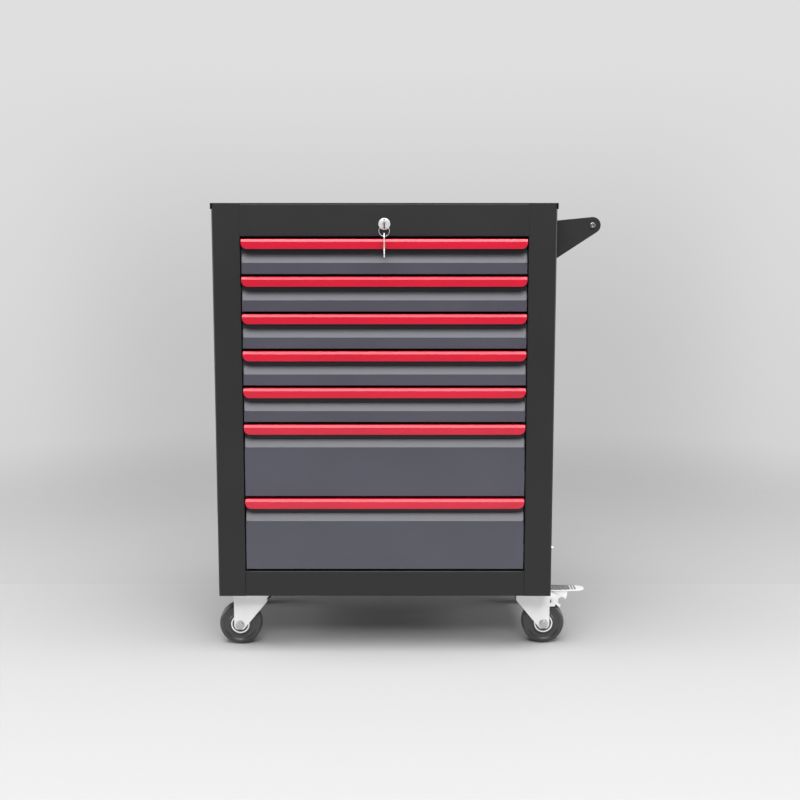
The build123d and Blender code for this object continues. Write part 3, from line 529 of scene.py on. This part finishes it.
# %% [markdown]
# Screws, bolts, tyres and the key ring all follow a rule. A loop of copies could make them, but a tree of
# Geometry Nodes keeps the rule in one place, with its sizes as inputs that have names. A modifier is told
# each one by the identifier behind the name. Every such recipe ends the same way: instances become real
# geometry, because an exported model has no instances, and get their finish.

# %% A recipe of geometry nodes
class Recipe(Graph):
    def __init__(self, name, **inputs):
        super().__init__(bpy.data.node_groups.new(name, "GeometryNodeTree"))
        panel = self.tree.interface
        panel.new_socket("Geometry", in_out="OUTPUT", socket_type="NodeSocketGeometry")
        panel.new_socket("Geometry", in_out="INPUT", socket_type="NodeSocketGeometry")
        self.keys = {}
        for key, kind in {**inputs, "finish": "Material"}.items():
            socket = panel.new_socket(key, in_out="INPUT", socket_type="NodeSocket" + kind)
            self.keys[key] = socket.identifier
        entry = self.tree.nodes.new("NodeGroupInput")
        self.given = {socket.name: Wire(self, socket) for socket in entry.outputs}

    def serve(self, shape):
        """End the recipe with this shape."""
        real = self.node("GeometryNodeRealizeInstances", inputs={0: shape})
        done = self.node("GeometryNodeSetMaterial", inputs={
            "Geometry": real, "Material": self.given["finish"]})
        self.feed(self.tree.nodes.new("NodeGroupOutput").inputs[0], done)

    def make(self, name, start, **values):
        """Run the recipe on a mesh, and return what comes out as a plain mesh."""
        holder = bpy.data.objects.new(name + "_holder", start)
        bpy.context.scene.collection.objects.link(holder)
        modifier = holder.modifiers.new("recipe", "NODES")
        modifier.node_group = self.tree
        for key, value in values.items():
            modifier[self.keys[key]] = value
        holder.modifiers.new("flat faces stay flat", "WEIGHTED_NORMAL").weight = 100
        return plain_mesh(holder, name)


print("recipe helper ready")

# %% [markdown]
# A screw is a turned part: rings of corners, one above the other, from the tip of its shank up over its head
# and down into its driver recess. Spinning an outline would make every ring round. Here its radius may depend
# on the angle, which gives the six flats of a socket or a nut and the four arms of a cross with the same few
# lines.

# %% Turn a shape out of rings
even_angles = [math.radians(15 * step) for step in range(24)]


def turned(name, angles, rings, hollow=False):
    """Rings of (height, radius as a number or by angle). A hollow shape's last ring joins its first."""
    work = bmesh.new()
    loops = []
    for height, radius in rings:
        reach = [radius(angle) if callable(radius) else radius for angle in angles]
        ring = [(r * math.cos(angle), r * math.sin(angle), height) for r, angle in zip(reach, angles)]
        loops.append([work.verts.new(corner) for corner in ring])
    next_loops = loops[1:] + loops[:1] if hollow else loops[1:]
    for lower, upper in zip(loops, next_loops):
        for left in range(len(angles)):
            right = (left + 1) % len(angles)
            work.faces.new((lower[left], lower[right], upper[right], upper[left]))
    if not hollow:
        work.faces.new(list(reversed(loops[0])))
        work.faces.new(loops[-1])
    mesh = bpy.data.meshes.new(name)
    work.to_mesh(mesh)
    work.free()
    mesh.shade_smooth()
    mesh.set_sharp_from_angle(angle=math.radians(38))
    return mesh


def six_flats(across, share=1.0):
    """Radius of a hexagon of that size across its flats, by angle."""
    return lambda angle: share * across / 2 / math.cos((angle + math.pi / 6) % (math.pi / 3) - math.pi / 6)


def cross_arms(reach, half_width, share=1.0):
    """Radius of a cross with arms of that reach, by angle."""
    def radius(angle):
        off_arm = abs((angle + math.pi / 4) % (math.pi / 2) - math.pi / 4)
        return share * min(reach / math.cos(off_arm), half_width / max(math.sin(off_arm), 1e-6))
    return radius


corner_reach = six_flats(0.010)(math.pi / 6)
print("a hexagon 10 mm across its flats is", round(2000 * corner_reach, 2), "mm across its corners")

# %% [markdown]
# The head of a screw is a low dome, so its rings follow a quarter circle. Its driver recess goes down from
# the middle of the dome, a little narrower with each ring, as a punch leaves it. The corners of a cross are
# close together, so its rings have their angles there.

# %% Patterns of a screw and a nut
socket_from = 0.005    # a head of this radius or more has a socket for a key, and a smaller one a cross


def screw(head_radius, head_height, shank_radius, shank_length):
    crown = 0.45 * head_height
    rings = [(-shank_length, 0.7 * shank_radius), (0.3 * shank_radius - shank_length, shank_radius),
             (0, shank_radius), (0, 0.97 * head_radius), (0.03 * head_radius, head_radius)]
    for step in range(5):
        bend = math.radians(22.5 * step)
        rings.append((head_height - crown * (1 - math.sin(bend)), head_radius - crown * (1 - math.cos(bend))))
    shares = (1.12, 1.0, 0.86, 0.3)
    if head_radius >= socket_from:
        angles, depth = even_angles, 0.6 * head_height
        recess = [six_flats(0.87 * head_radius, share) for share in shares]
    else:
        reach, half_width, depth = 0.55 * head_radius, 0.13 * head_radius, 0.55 * head_height
        corner = math.atan(half_width / reach)
        quarter = [-corner, corner, math.radians(28), math.radians(45), math.radians(62)]
        angles = [math.radians(90 * turn) + angle for turn in range(4) for angle in quarter]
        recess = [cross_arms(reach, half_width, share) for share in shares]
    drops = (0, 0.05 * head_radius, depth, 1.1 * depth)
    rings += [(head_height - drop, radius) for drop, radius in zip(drops, recess)]
    return turned("screw_pattern", angles, rings)


def nut(corner_radius, height, bore):
    across = corner_radius * math.cos(math.pi / 6) * 2
    rings = [(0, bore), (0, six_flats(across, 0.92)), (0.12 * height, six_flats(across)),
             (0.88 * height, six_flats(across)), (height, six_flats(across, 0.92)), (height, bore)]
    return turned("nut_pattern", even_angles, rings, hollow=True)


print("heads from", 2000 * socket_from, "mm across get a socket")

# %% [markdown]
# The measured model holds every screw as one plain solid in a larger part. A list of their places would go
# wrong when the cabinet changes, so each is found again as an island of joined corners. Its axis is the odd
# one out of its three sizes, its head is the wider end, and its seat is where the head begins. A nut is as
# wide at both ends.

# %% Find the fasteners in a part
def islands(node):
    """The corners of each separate solid in a part."""
    work = bmesh.new()
    work.from_mesh(nodes[node].data)
    bmesh.ops.remove_doubles(work, verts=work.verts, dist=1e-6)
    work.verts.index_update()
    met, found = set(), []
    for first in work.verts:
        if first.index in met:
            continue
        met.add(first.index)
        grown = [first]
        for corner in grown:
            for other in (edge.other_vert(corner) for edge in corner.link_edges):
                if other.index not in met:
                    met.add(other.index)
                    grown.append(other)
        found.append([corner.co.copy() for corner in grown])
    work.free()
    return found


def measure_fastener(corners):
    """Where its head sits, which way it faces, and its sizes: (seat, facing, sizes)."""
    low = Vector([min(corner[i] for corner in corners) for i in range(3)])
    high = Vector([max(corner[i] for corner in corners) for i in range(3)])
    size, middle = high - low, (low + high) / 2
    axis = min(range(3), key=lambda i: abs(size[(i + 1) % 3] - size[(i + 2) % 3]))

    def reach(corner):
        return math.hypot(*[corner[i] - middle[i] for i in range(3) if i != axis])

    radius = max(map(reach, corners))
    wide = [corner[axis] for corner in corners if reach(corner) > 0.9 * radius]
    above, below = high[axis] - max(wide), min(wide) - low[axis]
    facing, seat = Vector((0, 0, 0)), middle.copy()
    facing[axis] = 1 if above <= below else -1
    seat[axis] = min(wide) if above <= below else max(wide)
    if max(above, below) < 1e-5:
        return seat, facing, ("nut", radius, size[axis], min(map(reach, corners)))
    shank = [corner for corner in corners if (seat[axis] - corner[axis]) * facing[axis] > 1e-5]
    length = max(abs(corner[axis] - seat[axis]) for corner in shank)
    return seat, facing, ("screw", radius, size[axis] - length, max(map(reach, shank)), length)


print("caster bolts and nuts found:", len(islands("caster_bolts")))

# %% [markdown]
# Screws of one size share a pattern, and one recipe sets it on all their places, facing out. Each is turned
# by its own random angle, because nobody lines up the slots of screws. The seed is fixed, so they stand the
# same each time.

# %% A recipe that sets a pattern on places
setting = Recipe("set_on_places", pattern="Object", seed="Int")
facing = setting.node("GeometryNodeInputNamedAttribute", {"data_type": "FLOAT_VECTOR"}, {"Name": "facing"})
upright = setting.node("FunctionNodeAlignRotationToVector", {"axis": "Z"}, {"Vector": facing})
pattern = setting.node("GeometryNodeObjectInfo", inputs={"Object": setting.given["pattern"]},
                       output="Geometry")
turn = setting.node("FunctionNodeRandomValue", {"data_type": "FLOAT"},
                    {2: 0.0, 3: 2 * math.pi, "Seed": setting.given["seed"]}, output=1)
set_on = setting.node("GeometryNodeInstanceOnPoints", inputs={
    "Points": setting.given["Geometry"], "Instance": pattern, "Rotation": upright})
about_axis = setting.node("ShaderNodeCombineXYZ", inputs={"Z": turn})
setting.serve(setting.node("GeometryNodeRotateInstances", inputs={
    "Instances": set_on, "Rotation": about_axis}))
print("inputs of the recipe:", ", ".join(setting.keys))

# %% [markdown]
# A part's screws are sorted by size, each size is set by the recipe, and all of them together make one piece,
# because they ride on one body and wear one finish.

# %% Screws and bolts
def fastened(node, seed):
    """All the screws and nuts of a part, made from patterns."""
    groups = {}
    for corners in islands(node):
        seat, out, (kind, *sizes) = measure_fastener(corners)
        groups.setdefault((kind, *[round(size, 5) for size in sizes]), []).append((seat, out))
    finish = nodes[node].data.materials[0]
    whole = bmesh.new()
    for (kind, *sizes), places in groups.items():
        shape = bpy.data.objects.new("pattern", nut(*sizes) if kind == "nut" else screw(*sizes))
        bpy.context.scene.collection.objects.link(shape)
        points = bpy.data.meshes.new("places")
        points.from_pydata([seat for seat, out in places], [], [])
        outward = points.attributes.new("facing", "FLOAT_VECTOR", "POINT")
        outward.data.foreach_set("vector", [part for seat, out in places for part in out])
        whole.from_mesh(setting.make(node, points, pattern=shape, seed=seed, finish=finish))
        bpy.data.objects.remove(shape)
        print(node, len(places), kind, "of", round(2000 * sizes[0], 1), "mm across")
    mesh = bpy.data.meshes.new(node + "_turned")
    whole.to_mesh(mesh)
    whole.free()
    mesh.materials.append(finish)
    return placed(node + "_turned", mesh, nodes[node]["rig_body"], slots[node], node)


for seed, node in enumerate(("panel_screws", "handle_bolts", "caster_bolts"), start=11):
    fastened(node, seed)

# %% [markdown]
# A tyre is the same section all the way round its axle: bore, ring groove, shoulder, tread, and back again. A
# solid tyre comes out of a mould of two halves, which meet in the middle of the tread and leave a fine line
# there. The section is drawn once as a closed outline, and its corners carry the mark "tread".

# %% The section of a tyre
def tyre_section(radius, half_width):
    """Outline of the section, as (across, out from the axle, tread mark)."""
    bore, groove_in, groove_out, groove_depth = 0.01202, 0.0204, 0.0320, 0.0020
    shoulder, mould_line, tread_from, tread_fade = 0.0065, 0.00015, 0.0365, 0.003
    floor, ease = half_width - groove_depth, 0.0003
    out = radius - mould_line
    side = [(half_width, bore), (half_width, groove_in - 0.0004), (half_width - ease, groove_in + ease),
            (floor + ease, groove_in + groove_depth - ease), (floor, groove_in + groove_depth + ease),
            (floor, groove_out - 0.0039), (floor + ease, groove_out - 0.0031),
            (half_width - ease, groove_out - 0.0004), (half_width, groove_out + 0.0004)]
    for step in range(9):
        bend = math.radians(90 * step / 8)
        side.append((half_width - shoulder * (1 - math.cos(bend)), out - shoulder * (1 - math.sin(bend))))
    side += [(0.0016, out), (0.0004, out), (0.0002, radius), (0.0, radius)]
    whole = side + [(-across, up) for across, up in reversed(side[:-1])]
    return [(across, up, min(max((up - tread_from) / tread_fade, 0.0), 1.0))
            for across, up in reversed(whole)]


print("corners in a tyre's outline:", len(tyre_section(0.040, 0.0125)))

# %% [markdown]
# Spinning the section would leave a seam where the turn ends. A circle has no end, so the recipe carries the
# section round one, stands the tyre upright and moves it to its axle. The section is drawn about the line of
# the circle, so its corners count from there.

# %% Tyres
path_radius = 0.03
rolling = Recipe("roll_a_section", turns="Int", axle="Vector")
section = rolling.node("GeometryNodeMeshToCurve", inputs={"Mesh": rolling.given["Geometry"]})
path = rolling.node("GeometryNodeCurvePrimitiveCircle", {"mode": "RADIUS"},
                    {"Resolution": rolling.given["turns"], "Radius": path_radius})
rolled = rolling.node("GeometryNodeCurveToMesh", inputs={"Curve": path, "Profile Curve": section})
stood = rolling.node("GeometryNodeTransform", inputs={
    "Geometry": rolled, "Rotation": (math.radians(90), 0, 0)})
moved = rolling.node("GeometryNodeTransform", inputs={
    "Geometry": stood, "Translation": rolling.given["axle"]})
rolling.serve(rolling.node("GeometryNodeSetShadeSmooth", inputs={"Geometry": moved}))

for node in [name for name in nodes if name.startswith("tyre_")]:
    low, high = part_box(node)
    corners = tyre_section((high.z - low.z) / 2, (high.y - low.y) / 2)
    outline = bpy.data.meshes.new("section")
    outline.from_pydata([(up - path_radius, across, 0) for across, up, tread in corners],
                        [(i, (i + 1) % len(corners)) for i in range(len(corners))], [])
    tread_mark = outline.attributes.new("tread", "FLOAT", "POINT")
    tread_mark.data.foreach_set("value", [tread for across, up, tread in corners])
    mesh = rolling.make(node + "_moulded", outline, turns=96, axle=(low + high) / 2,
                        finish=finishes[slots[node]])
    placed(node + "_moulded", mesh, nodes[node]["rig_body"], slots[node], node)
    width = max(corner.co.y for corner in mesh.vertices) - min(corner.co.y for corner in mesh.vertices)
    excess = width - (high.y - low.y)
    print(node, len(mesh.polygons), "faces, wider than measured by", round(1000 * excess, 3), "mm")

# %% [markdown]
# The ring is a split ring: two turns of springy wire side by side. Two plain rings would look much the same
# but have no ends. A spiral whose two radii are equal has them, and a small circle carried along it gives the
# wire. The ring hangs through the hole in the key's bow.

# %% Key ring
ring_radius, ring_wire = 0.0093, 0.0004
hanging_y = front_y - 0.0176    # the upright plane in which the ring and the spare key hang
ring_drop = 0.0124              # from a key's hole to the middle of the ring

winding = Recipe("wind_a_ring", radius="Float", wire="Float", place="Vector")
spiral = winding.node("GeometryNodeCurveSpiral", inputs={
    "Resolution": 56, "Rotations": 2.0, "Start Radius": winding.given["radius"],
    "End Radius": winding.given["radius"], "Height": winding.given["wire"] * 4.0})
around = winding.node("GeometryNodeCurvePrimitiveCircle", {"mode": "RADIUS"},
                      {"Resolution": 10, "Radius": winding.given["wire"]})
wire = winding.node("GeometryNodeCurveToMesh", inputs={
    "Curve": spiral, "Profile Curve": around, "Fill Caps": True})
hung = winding.node("GeometryNodeTransform", inputs={
    "Geometry": wire, "Rotation": (math.radians(90), 0, 0), "Translation": winding.given["place"]})
winding.serve(winding.node("GeometryNodeSetShadeSmooth", inputs={"Geometry": hung}))

ring_place = Vector((lock_x, hanging_y + 2 * ring_wire, lock_z - ring_drop))
ring_mesh = winding.make("key_ring", bpy.data.meshes.new("nothing"), radius=ring_radius, wire=ring_wire,
                         place=ring_place, finish=finishes["satin_nickel"])
placed("key_ring", ring_mesh, "cabinet", "chrome")
print("ring faces", len(ring_mesh.polygons))

# %% [markdown]
# A spare key hangs in the ring, blade down. It is the first key's own rounded mesh, given a quarter turn
# about the hole in its bow and moved to the bottom of the ring. The move goes into the mesh, so that the
# finished key's object stays at the origin as every other piece's does.

# %% Spare key
hole_from_end = 0.009           # front end of the key to the middle of its hole
hole = Vector((lock_x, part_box("key")[0].y + hole_from_end, lock_z))
hung_hole = Vector((lock_x, hanging_y, lock_z - 2 * ring_drop))
tipped = (Matrix.Translation(hung_hole) @ Matrix.Rotation(math.radians(-90), 4, "X")
          @ Matrix.Translation(-hole))
spare_mesh = bpy.data.objects["key_eased"].data.copy()
spare_mesh.transform(tipped)
spare_mesh.materials[0] = finishes["satin_nickel"]
placed("spare_key", spare_mesh, "cabinet", "chrome")
spare_low = min(corner.co.z for corner in spare_mesh.vertices)
print("spare key ends", round(1000 * (lock_z - spare_low), 1), "mm under the lock's axis")

# %% [markdown]
# The chest stands on a plain pale floor. A floor with an edge would cut across other views, so both sheets
# turn transparent with distance and let the world's own pale tone through. The second sheet is a shade darker
# and lies behind the chest, where a studio's floor turns up into its back wall.

# %% Floor and backdrop
floor_reach = 5.0
back_line = front_y + 0.443


def stage_material(name, grey, fade):
    """A matt surface that dissolves between those two distances from the origin, under the chest."""
    finish = Finish(name, roughness=0.65, specular_ior_level=0.2, base_color=(grey, grey, grey, 1))
    distance = finish.node("ShaderNodeVectorMath", {"operation": "LENGTH"}, {0: finish.place},
                           output="Value")
    matt = Wire(finish, finish.shader.outputs[0])
    clear = finish.node("ShaderNodeBsdfTransparent")
    shown = finish.node("ShaderNodeMixShader", inputs={0: distance.between(*fade), 1: matt, 2: clear})
    finish.feed(finish.tree.nodes["Material Output"].inputs["Surface"], shown)
    return finish.material


def stage_sheet(name, front, rear, grey, fade):
    mesh = bpy.data.meshes.new(name)
    corners = [(-floor_reach, front, 0), (floor_reach, front, 0), (floor_reach, rear, 0),
               (-floor_reach, rear, 0)]
    mesh.from_pydata(corners, [], [(0, 1, 2, 3)])
    mesh.materials.append(stage_material(name, grey, fade))
    sheet = bpy.data.objects.new(name, mesh)
    bpy.context.scene.collection.objects.link(sheet)
    sheet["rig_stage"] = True


stage_sheet("floor", -floor_reach, back_line, grey=0.45, fade=(2.6, 4.4))
stage_sheet("back_floor", back_line, floor_reach, grey=0.44, fade=(0.4, 2.6))
print("the floor turns darker at", round(back_line, 3))

# %% [markdown]
# The world is bright only where the camera looks at it: darker near the floor and lighter above, as painted
# light of a back wall lit from above, and with a soft darker patch low behind the chest, a painted shadow of
# the chest on that wall. Everything else sees it dim, so that it doesn't wash the shadows out.

# %% World
lower_tone, upper_tone, painted_shadow_depth, dim_tone = 0.62, 0.74, 0.19, 0.12
world = bpy.data.worlds.new("studio")
bpy.context.scene.world = world
world.use_nodes = True
sky = Graph(world.node_tree)
direction = sky.node("ShaderNodeTexCoord", output="Generated")
across, height = [sky.node("ShaderNodeSeparateXYZ", inputs={0: direction}, output=axis) for axis in "XZ"]
# Painted light: the backdrop is darker near the floor and lighter above.
backdrop = sky.node("ShaderNodeMapRange", inputs={
    "Value": height, "From Min": -0.30, "From Max": 0.15, "To Min": lower_tone, "To Max": upper_tone})
# Painted shadow: a soft darker patch low behind the chest, as the chest's shadow on a back wall.
patch = (1.0 - (across * across).between(0.020, 0.10)) * (1.0 - height.between(-0.10, 0.16))
backdrop = backdrop * (1.0 - patch * painted_shadow_depth)
seen = sky.node("ShaderNodeLightPath", output="Is Camera Ray")
background = world.node_tree.nodes["Background"]
background.inputs["Color"].default_value = (1.0, 1.0, 1.0, 1)
sky.feed(background.inputs["Strength"], seen * backdrop + (1.0 - seen) * dim_tone)
print("nodes in the world:", len(world.node_tree.nodes))

# %% [markdown]
# The light is soft and comes from above, as from a studio's ceiling: a row of large panels over the chest and
# in front of it. A slope of a drawer front mirrors the ceiling at its own angle, so the panels' strengths set
# how light each slope looks. Two upright panels beside the chest light its walls, and a weak one behind keeps
# its back readable.

# %% Lights
def softbox(name, place, aim, size, radiance):
    data = bpy.data.lights.new(name, "AREA")
    data.shape = "RECTANGLE"
    data.size, data.size_y = size
    data.energy = radiance * math.pi * size[0] * size[1]
    light = bpy.data.objects.new(name, data)
    light.location = place
    light.rotation_euler = (Vector(aim) - Vector(place)).to_track_quat("-Z", "Y").to_euler()
    light.visible_camera = False
    bpy.context.scene.collection.objects.link(light)


# Each panel: its rear and front edge, measured from the chest's front, and its radiance.
ceiling = {"over_lid": (0.3, -0.35, 6.4), "over_pulls": (-0.35, -1.0, 4.7), "middle": (-1.0, -2.2, 5.2),
           "forward": (-2.2, -3.2, 4.8), "farthest": (-3.2, -4.6, 8.8)}
ceiling_height, ceiling_width = 3.2, 3.6
for panel, (rear, front, radiance) in ceiling.items():
    y = front_y + (rear + front) / 2
    softbox(panel, (0, y, ceiling_height), (0, y, 0), (ceiling_width, rear - front), radiance)
for side in (-1, 1):
    softbox("side", place=(2.3 * side, front_y + 0.1, 0.8), aim=(0, front_y + 0.1, 0.3), size=(1.6, 1.2),
            radiance=4.2)
softbox("rear", place=(0, 2.3, 2.4), aim=(0, 0.3, 0.5), size=(1.8, 0.9), radiance=0.7)
bpy.context.scene.view_settings.view_transform = "Standard"
print("lights:", len(bpy.data.lights))

# %% [markdown]
# The finished chest has to be as large as the measured one. How far their corners differ is printed.

# %% Sizes
finished_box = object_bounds()
for corner, measured, finished in zip(("lowest", "highest"), measured_box, finished_box):
    print(corner, "corner differs by", [round(a - b, 4) for a, b in zip(finished, measured)])
